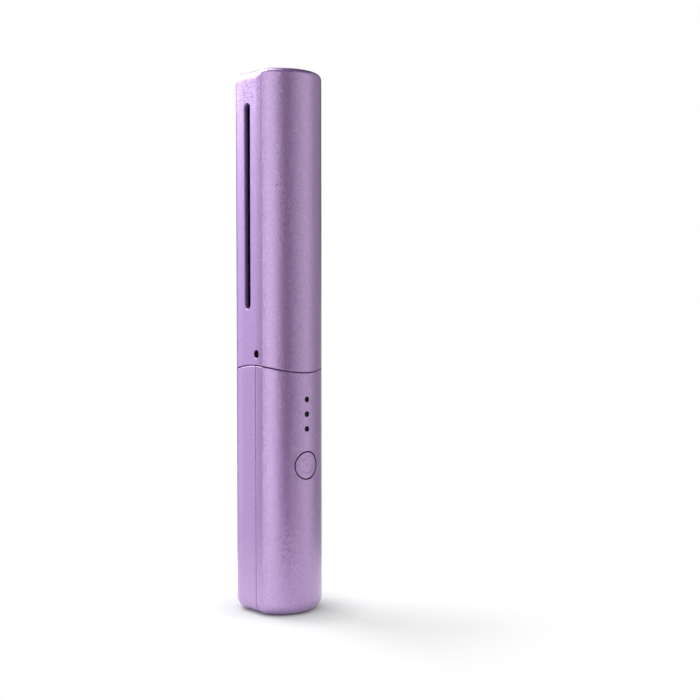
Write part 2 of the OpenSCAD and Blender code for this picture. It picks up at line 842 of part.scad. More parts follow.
module switch_body() {
    size = 5.2;
    color(steel)
    difference() {
        block([board_front, -size / 2, button_z - size / 2], [switch_face, size / 2, button_z + size / 2]);
        rod_x(1.65, board_front + 0.2, half_w, 0, button_z);
    }
}

module switch_plunger() {
    color(black)
    rod_x(1.6, board_front + 0.2 + button_travel + fitted, plunger_tip, 0, button_z);
}

module status_leds() {
    color("ivory")
    for (z = light_z)
        block([board_front, -0.8, z - 0.7], [board_front + led_t, 0.8, z + 0.7]);
}

module light_guide() {
    bar_x = board_front + led_t;
    color([0.16, 0.12, 0.18]) {
        block([bar_x, -1.4, light_z[2] - 1.4], [bar_x + 1.2, 1.4, min(light_z[0] + 1.4, board_z1)]);
        for (z = light_z)
            intersection() {
                rod_x(light_d / 2 - fitted / 2, bar_x + 1, half_w, 0, z);
                button_side_surface(0.35);
            }
    }
}

// ---------------------------------------------------------------- button

// Ring open at the top with a short bar in the opening, cut as a shallow mark
module power_mark() {
    ring_r = 2.9;
    line_w = 0.5;
    opening = 1.1;
    difference() {
        rod_x(ring_r + line_w / 2, 0, far, 0, button_z);
        rod_x(ring_r - line_w / 2, -1, far + 1, 0, button_z);
        block([-1, -opening, button_z], [far + 1, opening, button_z + far / 4]);
    }
    block([0, -line_w / 2, button_z - 0.4], [far, line_w / 2, button_z + ring_r + 0.6]);
}

module power_button() {
    mark_depth = 0.2;
    color(purple)
    difference() {
        union() {
            intersection() {
                rod_x(button_d / 2, button_back, half_w + 1, 0, button_z);
                button_side_surface(0);
            }
            intersection() {
                rod_x(flange_r, button_back, half_w, 0, button_z);
                button_side_surface(shell_wall + 0.35);
            }
        }
        difference() {
            power_mark();
            button_side_surface(mark_depth);
        }
    }
}

handle_rear_shell();
handle_front_cover();
cap();
latch_pegs();
comb_shell_plain();
comb_shell_button();
heat_plate_plain();
heat_plate_button();
ceramic_heater();
heater_insulators();
plate_screws();
temperature_sensor();
thermal_fuse();
heater_leads();
comb_mount_plate();
comb_mount_screws();
battery_cell();
battery_positive_tab();
battery_negative_tab();
battery_pads();
main_board();
board_chips();
board_screws();
usb_c_socket();
switch_body();
switch_plunger();
status_leds();
light_guide();
power_button();
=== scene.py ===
"""Looks of a cordless hot comb with its cap on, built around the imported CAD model.

Lengths are millimetres until a mesh is made. As in the CAD model, X points to the button side, -Y to the flat
with the slot and Z up the comb, which stands on Z = 0.
"""
import json
import math

import bmesh
import bpy
import numpy as np
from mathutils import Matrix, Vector


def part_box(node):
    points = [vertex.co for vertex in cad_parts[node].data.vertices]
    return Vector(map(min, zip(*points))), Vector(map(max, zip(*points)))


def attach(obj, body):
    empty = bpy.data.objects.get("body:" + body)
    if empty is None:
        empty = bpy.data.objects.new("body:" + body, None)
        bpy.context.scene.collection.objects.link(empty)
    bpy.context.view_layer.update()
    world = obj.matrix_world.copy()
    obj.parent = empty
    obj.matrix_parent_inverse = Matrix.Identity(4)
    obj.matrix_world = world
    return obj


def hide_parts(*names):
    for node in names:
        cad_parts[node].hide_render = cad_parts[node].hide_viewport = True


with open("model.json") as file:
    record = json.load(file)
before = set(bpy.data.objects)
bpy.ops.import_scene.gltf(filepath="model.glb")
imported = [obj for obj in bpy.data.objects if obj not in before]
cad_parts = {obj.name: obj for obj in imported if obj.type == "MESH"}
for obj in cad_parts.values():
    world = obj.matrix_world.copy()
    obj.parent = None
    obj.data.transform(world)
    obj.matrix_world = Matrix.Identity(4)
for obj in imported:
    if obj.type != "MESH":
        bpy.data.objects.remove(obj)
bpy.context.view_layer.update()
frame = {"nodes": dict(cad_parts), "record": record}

MM = 0.001
NODES = frame["nodes"]


def box_mm(node):
    """A node's lowest and highest corners in millimetres."""
    lo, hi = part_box(node)
    return np.array(lo) / MM, np.array(hi) / MM


# ---------------------------------------------------------------- sizes, from the frame where it has them

CAP_HI = box_mm("cap")[1]
REAR_HI = box_mm("handle_rear_shell")[1]
BUTTON_LO, BUTTON_HI = box_mm("power_button")
LED_LO, LED_HI = box_mm("status_leds")
MOUNT_LO, MOUNT_HI = box_mm("comb_mount_plate")
USB_LO, USB_HI = box_mm("usb_c_socket")
PEG_LO, PEG_HI = box_mm("latch_pegs")

# the grip's section: two flats, two round sides and four corners
HALF_W, HALF_D, TOTAL_H = CAP_HI
FLAT_W = 13.1
CORNER_R = 3.0
SMALLEST_CORNER = 0.5
SIDE_RISE = HALF_W - FLAT_W / 2
SIDE_R = (SIDE_RISE ** 2 + (HALF_D - CORNER_R) ** 2 - CORNER_R ** 2) / (2 * (SIDE_RISE - CORNER_R))
SIDE_CX = HALF_W - SIDE_R

# walls and roundings
SHELL_WALL = 2.0
BASE_WALL = 2.4
CAP_WALL = 1.6
CAP_TOP_WALL = 1.8
BASE_ROUND = 4.9
CAP_ROUND = 3.6
CAP_ROUND_SIDE = 2.2  # over the button side
ROUND_CHANGES = (4.0, 10.0)  # X between which the cap's rounding goes from one radius to the other
CAP_EDGE_LIP = 0.28
CAP_BAND = 1.9  # above the joint's height; over this band the cap's straight rows begin
RIM_LIP = 0.45

# the arched joint between cap and handle, and the seam between the handle's halves
JOINT_Z = REAR_HI[2]
ARCH_X = 2.5
ARCH_R = 36.0
ARCH_GAP = 0.3
ARCH_LOW = 83.0  # below the arch at every X of the rear shell
SEAM_X = 3.6
SEAM_HALF = 0.1
SEAM_LIP = 0.2
FLAT_CORE = SEAM_X + 0.6  # this part of a flat isn't squeezed where the section moves in
GROOVE_INSET = 1.0  # the mounting plate's groove in the walls
GROOVE_GAP = 0.05
MOUTH_GAP = 0.25  # round the charging socket

# slot and latch holes in the cap
SLOT_R = 1.6
SLOT_X = -1.1  # towards the spine, as the seam and the latch lie towards the button
SLOT_DROP = 12.4
SLOT_LEN = 76.8
SLOT_TOP = TOTAL_H - SLOT_DROP - SLOT_R
SLOT_BOTTOM = TOTAL_H - SLOT_DROP - SLOT_LEN + SLOT_R
SLOT_LIP = 0.42
SLOT_LIP_DEEP = 1.1
LATCH_R = 1.5
LATCH_X = (PEG_LO[0] + PEG_HI[0]) / 2
LATCH_Z = (PEG_LO[2] + PEG_HI[2]) / 2
LATCH_LIP = 0.22

# power button with its mark, and the three lights
BUTTON_R = 5.0
BUTTON_GAP = 0.35
BUTTON_LIP = 0.3
BUTTON_Z = (BUTTON_LO[2] + BUTTON_HI[2]) / 2
BUTTON_BACK = BUTTON_LO[0]
BUTTON_HOLE_R = BUTTON_R + BUTTON_GAP
FLANGE_R = (BUTTON_HI[1] - BUTTON_LO[1]) / 2
FLANGE_DEPTH = SHELL_WALL + 0.35
MARK_R = 2.9
MARK_LINE = 0.46
MARK_SOFT = 0.09  # half the width of its sloping edges
MARK_DEEP = 0.2
MARK_OPENING = 1.1
MARK_BAR_LOW = -0.4
MARK_BAR_OVER = 0.6  # how far the bar stands past the ring
LIGHT_R = 1.05
LED_HALF = 0.7
LIGHT_Z = np.linspace(LED_LO[2] + LED_HALF, LED_HI[2] - LED_HALF, 3)
HOLE_LIP = 0.2

# below these depths, faces in openings, seams and gaps get near-black unpainted plastic, which also paints
# the shade there
SHADE_DEPTH_CAP = 0.2
SHADE_DEPTH_HANDLE = 0.12
SHADE_DEPTH_BUTTON_HOLE = 0.02
SHADE_DEPTH_BUTTON = 0.09
WALL_MARGIN = 0.12  # faces this near to a hole's wall belong to it

# fineness of the meshes; a window is the field of cells that a hole is set into
SPACING = 0.75  # between stations
HELD_CLEAR = 0.3  # stations nearer than this to a held one make way for it
ROW = 1.2
FINE_ROW = 0.7
LAND = 0.08  # narrow strip beside a small rounding, which keeps its shading to itself
WALL_LAND = 0.15  # the same beside the base's and the top's rounding
END_LAND = 0.3  # the same on the flat ends
BESIDE_LIP = (0.0, 0.12, 0.5)  # stations held at these distances from the seam's lips
SEAM_SHARES = (0.985, 0.93, 0.8, 0.65, 0.5, 0.3, 0.1)  # of the half depth, with a station on the seam face
PAST_WALL = 0.5  # how far pockets and folded-in ends reach past a wall before the cavity is cut
PAST_END = 4.0  # how far cutters stand out of an open end
OUTER_RING = 0.7  # from a hole's wall to the ring between its rounding and its window's edge
BUTTON_LAND = 0.1
SLOT_WINDOW = (3.0, 3.2)
LATCH_WINDOW = (2.2, 2.6)
BUTTON_WINDOW = BUTTON_HOLE_R + 1.35
LIGHT_WINDOW = 2.2
TINY = 1e-4
BUTTON_SIDES = 192
BUTTON_RINGS = 52
SHARP_ANGLE = math.radians(38.0)

# pearl paint: tones in 8-bit sRGB, and how many cells or waves its textures have in a metre
PEARL = ((190, 141, 214), (196, 147, 220))
PEARL_DARK = (158, 104, 188)
PEARL_LIGHT = (222, 184, 242)
FLAKES = 4600.0
FLAKE_TILT = 0.24
GRAIN = 1500.0
CLOUDS = 45.0
SOFT_W = 1.9  # the shading at the section's corners turns over this width to both sides of their middle
SOFT_LEAN = 0.24

# camera: where it stands round the object, and where it looks
CAM_AZ = math.radians(50.868)
CAM_DIST = 455.273
CAM_H = 117.375
CAM_PITCH = math.radians(2.208)
CAM_YAW = math.radians(-3.438)
CAM_LENS = 60.636

# lamps: name, left and right edge, lower and upper edge in degrees, radiance and colour
LAMP_DIST = 900.0
NEUTRAL = (1.0, 1.0, 1.0)
COOL = (1.0, 1.01, 1.06)
COOLER = (1.0, 0.98, 1.16)
LAMPS = (
    ("key", (-150, -104), (44, 66), 9.0, COOL),
    ("overhead", (-130, -50), (62, 88), 3.0, NEUTRAL),
    ("left_high", (-150, -98), (18, 44), 3.6, COOL),
    ("left_middle", (-132, -98), (0, 18), 1.12, COOLER),
    ("left_low", (-132, -98), (-30, 0), 1.05, COOLER),
    ("left_front", (-98, -62), (-30, 42), 0.3, NEUTRAL),
    ("front", (-62, -3), (-30, 42), 1.31, NEUTRAL),
    ("right_near", (30, 60), (-30, 42), 0.5, NEUTRAL),
    ("right", (60, 96), (-30, 42), 0.88, NEUTRAL),
    ("right_far", (96, 150), (-30, 42), 0.32, NEUTRAL),
    ("back", (150, 205), (-30, 2), 0.6, NEUTRAL),
)

# table and background
TABLE_R = 125.0
TABLE_CORE = 20.0
TABLE_FADE = (70.0, 115.0)
TABLE_Z = -0.02
TABLE_RINGS = 14
TABLE_SIDES = 64
TABLE_GREY = (0.45, 0.45, 0.45, 1)
TABLE_LIFT = 0.63
TABLE_SHINE = 0.62
SHADE_REACH = 20.0
WORLD_FILL = 0.01


# ---------------------------------------------------------------- mesh helpers


def quarter(steps):
    """Angles of a quarter turn."""
    return np.linspace(0, math.pi / 2, steps)


def spread(a, b, step):
    """Evenly spaced values from a to b, both included."""
    return np.linspace(a, b, max(2, int(round(abs(b - a) / step)) + 1))


def rows_between(z0, z1, step=ROW):
    """Heights of rows from z0 to z1."""
    return list(spread(z0, z1, step))


def ease(t):
    """From 0 to 1 with a soft start and end."""
    t = min(max(t, 0.0), 1.0)
    return t * t * (3 - 2 * t)


def to_object(name, verts, faces):
    """A new mesh object from points in millimetres."""
    mesh = bpy.data.meshes.new(name)
    mesh.from_pydata([tuple(v) for v in np.asarray(verts, float) * MM], [], [tuple(f) for f in faces])
    mesh.update()
    obj = bpy.data.objects.new(name, mesh)
    bpy.context.scene.collection.objects.link(obj)
    return obj


def extrude(name, points, z0, z1):
    """An upright solid with the outline of the points."""
    n = len(points)
    verts = [(x, y, z) for z in (z0, z1) for x, y in points]
    faces = [(j, (j + 1) % n, n + (j + 1) % n, n + j) for j in range(n)]
    faces += [tuple(range(n))[::-1], tuple(range(n, 2 * n))]
    return to_object(name, verts, faces)


def face_out(obj):
    """Turns every face outwards."""
    bm = bmesh.new()
    bm.from_mesh(obj.data)
    bmesh.ops.recalc_face_normals(bm, faces=bm.faces)
    bm.to_mesh(obj.data)
    bm.free()


def cut(obj, cutter):
    """Cuts the cutter out of the object and drops it."""
    mod = obj.modifiers.new("cut", "BOOLEAN")
    mod.operation = "DIFFERENCE"
    mod.solver = "EXACT"
    mod.object = cutter
    bpy.context.view_layer.update()
    graph = bpy.context.evaluated_depsgraph_get()
    mesh = bpy.data.meshes.new_from_object(obj.evaluated_get(graph))
    obj.modifiers.clear()
    old = obj.data
    obj.data = mesh
    bpy.data.meshes.remove(old)
    bpy.data.objects.remove(cutter)


def smooth(obj):
    """Smooth faces, with sharp edges where the surface turns by more than the sharp angle."""
    bm = bmesh.new()
    bm.from_mesh(obj.data)
    bmesh.ops.remove_doubles(bm, verts=bm.verts, dist=1e-7)
    for face in bm.faces:
        face.smooth = True
    for edge in bm.edges:
        edge.smooth = len(edge.link_faces) == 2 and edge.calc_face_angle(0.0) < SHARP_ANGLE
    bm.to_mesh(obj.data)
    bm.free()
    mod = obj.modifiers.new("normals", "WEIGHTED_NORMAL")
    mod.keep_sharp = True
    mod.weight = 60


def skin_depth(x, y):
    """How far a point lies under the grip's outside."""
    return min(HALF_D - abs(y), SIDE_R - math.hypot(abs(x) - SIDE_CX, y))


def shade_deep_faces(obj, shade_depth, test):
    """Gives the faces that pass the test and lie deeper than the given depth the second finish, near-black
    plastic that also paints the shade in gaps, seams and holes.
    """
    for face in obj.data.polygons:
        x, y, z = (v / MM for v in face.center)
        if skin_depth(x, y) > shade_depth and test(x, y, z):
            face.material_index = 1


def stand_in(piece, body, node):
    """Hangs a painted piece on its body's empty and hides the solid it stands for."""
    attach(piece, body)
    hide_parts(node)
    return piece


# ---------------------------------------------------------------- the grip's section


def section_values(inset):
    """Corner radius, side radius, corner centre and the arc's half-angle of the section moved in by inset."""
    r = max(CORNER_R - inset, SMALLEST_CORNER)
    wide = SIDE_R - inset
    cy = HALF_D - inset - r
    reach = math.sqrt((wide - r) ** 2 - cy * cy)
    return r, wide, SIDE_CX + reach, cy, math.atan2(cy, reach)


FLAT_END = section_values(0)[2]


def station_point(station, inset):
    """Where one station of the outline lies when the section is moved in by inset.

    A station is (kind, sx, sy, t). sx and sy are the signs of its side and flat, or sx is the seam face's X.
    t is a share of the arc, corner or seam face, the X on a flat or the angle on a lip.
    """
    kind, sx, sy, t = station
    r, wide, cx, cy, end = section_values(inset)
    if kind == "arc":
        return sx * (SIDE_CX + wide * math.cos(t * end)), wide * math.sin(t * end)
    if kind == "corner":
        a = end + t * (math.pi / 2 - end)
        return sx * (cx + r * math.cos(a)), sy * (cy + r * math.sin(a))
    if kind == "flat":
        beyond = max(abs(t) - FLAT_CORE, 0.0)
        moved = beyond * (cx - FLAT_END) / (FLAT_END - FLAT_CORE)
        return t + math.copysign(1.0, t) * moved, sy * (HALF_D - inset)
    lip_y = HALF_D - inset - SEAM_LIP
    if kind == "lip":
        centre = sx + math.copysign(SEAM_LIP, sx - SEAM_X)
        return centre + SEAM_LIP * math.cos(t), sy * lip_y + SEAM_LIP * math.sin(t)
    return sx, t * lip_y


def side_stations(sx):
    """Corner, arc and corner of one side, anticlockwise seen from above."""
    corner = np.linspace(0, 1, 7)
    half = section_values(0)[4]
    arc = np.linspace(-1, 1, 2 * int(round(SIDE_R * half / SPACING)) + 1)
    first = [("corner", sx, -sx, t) for t in corner[::-1]]
    last = [("corner", sx, sx, t) for t in corner[1:]]
    middle = [("arc", sx, 0, sx * t) for t in arc[1:]]
    return first + middle + last


def flat_stations(sy, x0, x1, held):
    """Stations strictly between x0 and x1 on one flat, with extra ones at the held values."""
    xs = set(np.round(spread(x0, x1, SPACING)[1:-1], 4))
    for value in held:
        xs = {x for x in xs if abs(x - value) > HELD_CLEAR} | {value}
    return [("flat", 0, sy, x) for x in sorted(xs, reverse=bool(x1 < x0))]


def whole_loop(held_front=(), held_back=()):
    """Stations of the closed outline, with the held X values on its flats."""
    return (side_stations(1) + flat_stations(1, FLAT_END, -FLAT_END, held_back)
            + side_stations(-1) + flat_stations(-1, -FLAT_END, FLAT_END, held_front))


def half_loop(side):
    """Stations of one half of the handle: its part of the outline, two lips and the seam face between."""
    x = SEAM_X + side * SEAM_HALF
    edge = x + side * SEAM_LIP
    near, far = edge - side * TINY, side * FLAT_END
    held = [edge + side * distance for distance in BESIDE_LIP]
    lip = quarter(5)
    turn = math.pi - side * math.pi / 2
    shares = np.array(SEAM_SHARES)
    return (flat_stations(-side, near, far, held) + side_stations(side) + flat_stations(side, far, near, held)
            + [("lip", x, side, turn + a) for a in lip[1:]]
            + [("seam", x, 0, side * t) for t in np.concatenate([shares, -shares[::-1]])]
            + [("lip", x, -side, turn + math.pi / 2 + a) for a in lip[:-1]])


def arch_height(x, lift=0.0):
    """Height of the arch, raised by lift, at X."""
    return JOINT_Z + lift - ARCH_R + np.sqrt(ARCH_R ** 2 - (x - ARCH_X) ** 2)


def arch_curve(lift):
    """The arch raised by lift, as a function of X."""
    return lambda x: arch_height(x, lift)


def towards(curve, z, share):
    """A share of the way from a curve to a level, as a function of X."""
    return lambda x: curve(x) * (1 - share) + z * share


def side_surface(y):
    """X of the button side's round surface."""
    return SIDE_CX + np.sqrt(SIDE_R ** 2 - y * y)


def top_round(x):
    """Radius of the cap's top rounding, tighter over the button side."""
    start, end = ROUND_CHANGES
    return CAP_ROUND + (CAP_ROUND_SIDE - CAP_ROUND) * ease((x - start) / (end - start))


def prism(name, inset, z0, z1):
    """A straight cutter with the grip's section."""
    return extrude(name, [station_point(s, inset) for s in whole_loop()], z0, z1)


def capsule(name, r, reach, x, z0, z1):
    """An upright cutter with a capsule section that is long in Y."""
    turn = np.linspace(0, math.pi, 25)
    back = [(x + r * math.cos(a), reach + r * math.sin(a)) for a in turn]
    front = [(x - r * math.cos(a), -reach - r * math.sin(a)) for a in turn]
    return extrude(name, back + front, z0, z1)


# ---------------------------------------------------------------- closed solids lofted along Z


class Loft:
    """A closed skin of rows of stations, in which windows can be opened for holes.

    levels holds the height of each straight row, and None for the others.
    """

    def __init__(self, stations):
        self.stations = stations
        self.rows = []
        self.levels = []
        self.extra = []
        self.faces = []
        self.open = set()

    def add(self, inset, z):
        """A row; z is a function of X, or a number where windows may lie."""
        points = [station_point(s, inset) for s in self.stations]
        self.rows.append([(x, y, z(x) if callable(z) else z) for x, y in points])
        self.levels.append(None if callable(z) else z)

    def add_rounded(self, radius, a, top):
        """A row at the angle a of a rounding whose radius is a function of X."""
        row = []
        for s in self.stations:
            r = radius(station_point(s, 0)[0])
            x, y = station_point(s, r * (1 - math.cos(a)))
            row.append((x, y, top - r * (1 - math.sin(a))))
        self.rows.append(row)
        self.levels.append(None)

    def index(self, i, j):
        """Number of the point in row i and column j."""
        return i * len(self.stations) + j % len(self.stations)

    def window(self, columns, z0, z1, centre, reach, rings):
        """Opens the cells between the columns and heights, and fills them with rings round a hole.

        centre is the hole's axis (u, v0, v1), and reach turns (u, v, depth) into a point. rings are
        (radius, depth) pairs from the outside in, and the last one is closed by a face.
        """
        rows = [i for i, z in enumerate(self.levels) if z is not None and z0 - TINY <= z <= z1 + TINY]
        i0, i1 = rows[0], rows[-1]
        j0, j1 = columns
        self.open |= {(i, j) for i in range(i0, i1) for j in range(j0, j1)}
        loop = [self.index(i0, j) for j in range(j0, j1)]
        loop += [self.index(i, j1) for i in range(i0, i1)]
        loop += [self.index(i1, j) for j in range(j1, j0, -1)]
        loop += [self.index(i, j0) for i in range(i1, i0, -1)]
        u_c, v_lo, v_hi = centre
        points = [p for row in self.rows for p in row]
        last = loop
        for radius, depth in rings:
            ring = []
            for k in loop:
                u, v = points[k][reach.along], points[k][2]
                v_c = min(max(v, v_lo), v_hi)
                d = math.hypot(u - u_c, v - v_c)
                u, v = u_c + (u - u_c) / d * radius, v_c + (v - v_c) / d * radius
                ring.append(self.more(reach(u, v, depth)))
            for a in range(len(loop)):
                b = (a + 1) % len(loop)
                self.faces.append((last[a], last[b], ring[b], ring[a]))
            last = ring
        self.faces.append(tuple(last[::-1]))

    def more(self, point):
        """Keeps a point outside the rows; its index is negative until the mesh is built."""
        self.extra.append(point)
        return -len(self.extra)

    def build(self, name, start, end):
        """The mesh, closed at each end by one flat face ("flat") or by a fan round a point."""
        n = len(self.stations)
        base = len(self.rows) * n
        verts = [p for row in self.rows for p in row] + self.extra
        faces = [tuple(base - k - 1 if k < 0 else k for k in f) for f in self.faces]
        for i in range(len(self.rows) - 1):
            for j in range(n):
                if (i, j) not in self.open:
                    faces.append((self.index(i, j), self.index(i, j + 1),
                                  self.index(i + 1, j + 1), self.index(i + 1, j)))
        for row, kind in ((0, start), (len(self.rows) - 1, end)):
            ring = [self.index(row, j) for j in range(n)]
            if kind == "flat":
                faces.append(tuple(ring[::-1] if row == 0 else ring))
                continue
            verts.append(kind)
            for a in range(n):
                tri = (ring[(a + 1) % n], ring[a], len(verts) - 1)
                faces.append(tri if row == 0 else tri[::-1])
        obj = to_object(name, verts, faces)
        face_out(obj)
        return obj


class FlatReach:
    """Points of a window on one of the two flats."""
    along = 0

    def __init__(self, sy):
        self.sy = sy

    def __call__(self, u, v, depth):
        return u, self.sy * (HALF_D - depth), v


class SideReach:
    """Points of a window on the button side's round surface."""
    along = 1

    def __call__(self, u, v, depth):
        return side_surface(u) - depth, u, v


def hole_rings(radius, lip, wall, outer=0.0, lip_deep=None):
    """Rings from near the window's edge, over a rounding that is lip_deep, to past the wall."""
    lip_deep = lip_deep or lip
    rings = [(radius + outer, 0.0)] if outer else []
    rings.append((radius + lip + LAND, 0.0))
    rings += [(radius + lip * (1 - math.sin(a)), lip_deep * (1 - math.cos(a))) for a in quarter(7)]
    return rings + [(radius, lip_deep + LAND), (radius, wall + PAST_WALL)]


def columns_between(stations, kind, sign, lo, hi):
    """First and last column of one kind, on the flat or side of that sign, placed between lo and hi."""
    found = []
    for j, station in enumerate(stations):
        if station[0] != kind:
            continue
        x, y = station_point(station, 0)
        side, place = (station[2], x) if kind == "flat" else (station[1], y)
        if side == sign and lo - TINY <= place <= hi + TINY:
            found.append(j)
    return found[0], found[-1]


# ---------------------------------------------------------------- cap


def cap_levels(start, latch_end, slot_start, slot_end):
    """Heights of the cap's straight rows, finer beside the latch holes and the slot's ends."""
    inside = 1.0
    return ([start] + rows_between(LATCH_Z - 2 * FINE_ROW, LATCH_Z + 2 * FINE_ROW, FINE_ROW) + [latch_end]
            + rows_between(latch_end + inside, slot_start - FINE_ROW)
            + rows_between(slot_start, SLOT_BOTTOM + inside, FINE_ROW)
            + rows_between(SLOT_BOTTOM + 2 * inside, SLOT_TOP - 2 * inside)
            + rows_between(SLOT_TOP - inside, slot_end, FINE_ROW)
            + rows_between(slot_end + FINE_ROW, TOTAL_H - CAP_ROUND - WALL_LAND))


def add_cap_edge(loft, start):
    """The cap's arched lower edge, from inside the wall up to the first straight row."""
    for inset in (CAP_WALL + PAST_WALL, CAP_WALL * 0.6, CAP_EDGE_LIP + LAND):
        loft.add(inset, arch_curve(ARCH_GAP))
    for a in quarter(5):
        loft.add(CAP_EDGE_LIP * (1 - math.sin(a)), arch_curve(ARCH_GAP + CAP_EDGE_LIP * (1 - math.cos(a))))
    over_edge = arch_curve(ARCH_GAP + CAP_EDGE_LIP + LAND)
    for share in (0.0, 0.3, 0.65):
        loft.add(0, towards(over_edge, start, share))


def make_cap():
    """The slotted cap with its two latch holes."""
    slot_left, between = SLOT_X - SLOT_WINDOW[0], SLOT_X + SLOT_WINDOW[0]
    slot_start, slot_end = SLOT_BOTTOM - SLOT_WINDOW[1], SLOT_TOP + SLOT_WINDOW[1]
    latch_right, latch_end = LATCH_X + LATCH_WINDOW[0], LATCH_Z + LATCH_WINDOW[1]
    start = JOINT_Z + CAP_BAND
    loop = whole_loop((slot_left, between, latch_right), (between, latch_right))
    loft = Loft(loop)
    add_cap_edge(loft, start)
    for z in cap_levels(start, latch_end, slot_start, slot_end):
        loft.add(0, z)
    for a in quarter(11):
        loft.add_rounded(top_round, a, TOTAL_H)
    loft.add(CAP_ROUND + END_LAND, TOTAL_H)
    rings = hole_rings(SLOT_R, SLOT_LIP, CAP_WALL, OUTER_RING, SLOT_LIP_DEEP)
    columns = columns_between(loop, "flat", -1, slot_left, between)
    loft.window(columns, slot_start, slot_end, (SLOT_X, SLOT_BOTTOM, SLOT_TOP), FlatReach(-1), rings)
    rings = hole_rings(LATCH_R, LATCH_LIP, CAP_WALL)
    for sy in (-1, 1):
        columns = columns_between(loop, "flat", sy, between, latch_right)
        loft.window(columns, start, latch_end, (LATCH_X, LATCH_Z, LATCH_Z), FlatReach(sy), rings)
    cap = loft.build("cap_moulding", (0, 0, arch_height(0.0, ARCH_GAP)), "flat")
    cut(cap, prism("cavity", CAP_WALL, JOINT_Z - ARCH_R, TOTAL_H - CAP_TOP_WALL))
    smooth(cap)
    # the latch holes' walls and the faces under the cap's lower edge get the near-black finish, as painted
    # shade
    shade_deep_faces(cap, SHADE_DEPTH_CAP, lambda x, y, z: math.hypot(x - LATCH_X, z - LATCH_Z) < LATCH_R + WALL_MARGIN)
    shade_deep_faces(cap, SHADE_DEPTH_CAP, lambda x, y, z: z < arch_height(x, ARCH_GAP + SHADE_DEPTH_CAP))
    return stand_in(cap, "cap", "cap")


# ---------------------------------------------------------------- the handle's two halves


def make_half(name, loop, levels, windows, middle_x):
    """One half of the handle: rounded base, wall with its windows, arched rim and cavity."""
    loft = Loft(loop)
    loft.add(BASE_ROUND + END_LAND, 0.0)
    for a in quarter(12):
        loft.add(BASE_ROUND * (1 - math.sin(a)), BASE_ROUND * (1 - math.cos(a)))
    for z in levels:
        loft.add(0, z)
    under_rim = arch_curve(-RIM_LIP - LAND)
    for share in np.linspace(1, 0, 9)[1:]:
        loft.add(0, towards(under_rim, levels[-1], share))
    for a in quarter(6):
        loft.add(RIM_LIP * (1 - math.cos(a)), arch_curve(-RIM_LIP * (1 - math.sin(a))))
    for inset in (RIM_LIP + LAND, SHELL_WALL / 2, SHELL_WALL + PAST_WALL):
        loft.add(inset, arch_curve(0.0))
    for window in windows:
        loft.window(*window)
    half = loft.build(name, "flat", (middle_x, 0, arch_height(middle_x)))
    cut(half, prism("cavity", SHELL_WALL, BASE_WALL, JOINT_Z + PAST_END))
    cut(half, prism("groove", GROOVE_INSET, MOUNT_LO[2] - GROOVE_GAP, MOUNT_HI[2] + GROOVE_GAP))
    return half


def in_seam(x, y, z):
    """True on the faces where the handle's halves meet."""
    return abs(x - SEAM_X) < SEAM_HALF * 1.2


def make_rear_shell():
    """The spine side's half of the handle."""
    levels = [BASE_ROUND + WALL_LAND] + rows_between(BASE_ROUND + FINE_ROW, ARCH_LOW)
    shell = make_half("handle_rear_moulding", half_loop(-1), levels, (), middle_x=-3.0)
    smooth(shell)
    # the seam faces get the near-black finish, as painted shade in the joint
    shade_deep_faces(shell, SHADE_DEPTH_HANDLE, in_seam)
    return stand_in(shell, "handle", "handle_rear_shell")


def cut_socket_mouth(cover):
    """The charging socket's mouth in the base."""
    r, x = (USB_HI[0] - USB_LO[0]) / 2, (USB_LO[0] + USB_HI[0]) / 2
    cut(cover, capsule("mouth", r + MOUTH_GAP, USB_HI[1] - r, x, -PAST_END, BASE_WALL + PAST_WALL))


def make_front_cover():
    """The button side's half of the handle, with the holes for button, lights and charging socket."""
    loop = half_loop(1)
    start, end = BUTTON_Z - BUTTON_WINDOW, BUTTON_Z + BUTTON_WINDOW
    levels = [BASE_ROUND + WALL_LAND] + rows_between(BASE_ROUND + FINE_ROW, start - FINE_ROW)
    levels += rows_between(start, end, FINE_ROW)
    columns = columns_between(loop, "arc", 1, -BUTTON_WINDOW, BUTTON_WINDOW)
    rings = hole_rings(BUTTON_HOLE_R, HOLE_LIP, SHELL_WALL, OUTER_RING)
    windows = [(columns, start, end, (0.0, BUTTON_Z, BUTTON_Z), SideReach(), rings)]
    columns = columns_between(loop, "arc", 1, -LIGHT_WINDOW, LIGHT_WINDOW)
    rings = hole_rings(LIGHT_R, HOLE_LIP, SHELL_WALL, OUTER_RING)
    for z in LIGHT_Z:
        start, end = z - LIGHT_WINDOW, z + LIGHT_WINDOW
        levels += rows_between(levels[-1], start, FINE_ROW) + rows_between(start, end, LIGHT_WINDOW / 4)
        windows.append((columns, start, end, (0.0, z, z), SideReach(), rings))
    levels = sorted(set(np.round(levels + [end + FINE_ROW], 5)))
    cover = make_half("handle_front_moulding", loop, levels, windows, middle_x=8.0)
    cut_socket_mouth(cover)
    smooth(cover)
    # the seam faces and the walls of the button hole and the light holes get the near-black finish, as
    # painted shade
    shade_deep_faces(cover, SHADE_DEPTH_HANDLE, in_seam)
    shade_deep_faces(cover, SHADE_DEPTH_BUTTON_HOLE,
         lambda x, y, z: math.hypot(y, z - BUTTON_Z) < BUTTON_HOLE_R + WALL_MARGIN)
    shade_deep_faces(cover, SHADE_DEPTH_HANDLE, lambda x, y, z: min(np.hypot(y, LIGHT_Z - z)) < LIGHT_R + WALL_MARGIN)
    return stand_in(cover, "handle", "handle_front_cover")


# ---------------------------------------------------------------- power button


def mark_depth(y, z):
    """Depth of the engraved power symbol at a place on the button."""
    ring = abs(math.hypot(y, z) - MARK_R) - MARK_LINE / 2
    if z > 0:
        ring = max(ring, MARK_OPENING - abs(y))
    bar = max(abs(y) - MARK_LINE / 2, MARK_BAR_LOW - z, z - MARK_R - MARK_BAR_OVER)
    return MARK_DEEP * ease(0.5 - min(ring, bar) / (2 * MARK_SOFT))


